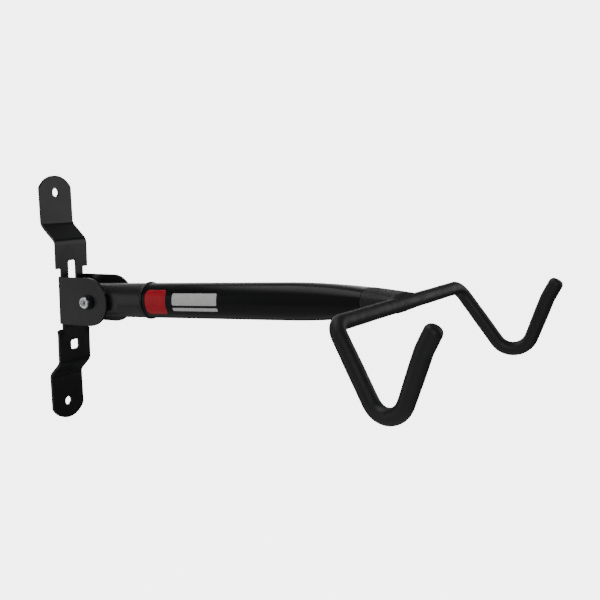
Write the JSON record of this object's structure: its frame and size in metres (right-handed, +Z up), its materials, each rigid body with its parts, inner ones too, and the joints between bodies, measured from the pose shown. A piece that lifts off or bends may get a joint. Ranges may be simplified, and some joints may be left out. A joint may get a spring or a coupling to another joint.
{
  "type": "bicycle wall rack",
  "caption": "Folding wall rack for a bicycle: stamped bracket, round arm on a pivot bolt, and a coated crossbar with two V-shaped hooks that carry the top tube.",
  "frame": {"origin": "on the wall plane, between the two screw pads, at the height of the pivot bolt", "axes": "+X out from the wall along the arm, +Y along the wall, +Z up"},
  "size_m": [0.542, 0.3318, 0.285],
  "materials": {
    "bracket_paint": "satin black powder coat",
    "arm_paint": "satin black paint",
    "arm_gloss": "glossy black paint",
    "rubber_coat": "matte black dipped rubber",
    "zinc_steel": "bright zinc plate",
    "black_steel": "blackened steel",
    "bare_steel": "plain drawn steel",
    "nylon": "natural nylon",
    "red_print": "red transfer print",
    "white_print": "white transfer print"
  },
  "bodies": {
    "wall_mount": {"wall_bracket": "bracket_paint", "pivot_bolt": "zinc_steel", "head_washer": "black_steel", "nut_washer": "black_steel", "lock_nut": "zinc_steel", "nut_locking_ring": "nylon", "slip_washer_near": "nylon", "slip_washer_far": "nylon"},
    "arm": {"pivot_bush": "bare_steel", "pivot_stub": "arm_paint", "collar_ring": "arm_paint", "main_tube": "arm_gloss", "hook_rod": "bare_steel", "upper_weld_bead": "bare_steel", "lower_weld_bead": "bare_steel", "joint_coat": "rubber_coat", "crossbar_coat_near": "rubber_coat", "crossbar_coat_far": "rubber_coat", "hook_coat_near": "rubber_coat", "hook_coat_far": "rubber_coat", "tip_cap_near": "rubber_coat", "tip_cap_far": "rubber_coat", "red_mark": "red_print", "white_bar_upper": "white_print", "white_bar_lower": "white_print"}
  },
  "joints": [
    {"name": "arm_fold", "type": "hinge", "parent": "wall_mount", "child": "arm", "pos_m": [0.066, 0, 0], "axis": [0, -1, 0], "range_deg": [0, 93]}
  ]
}
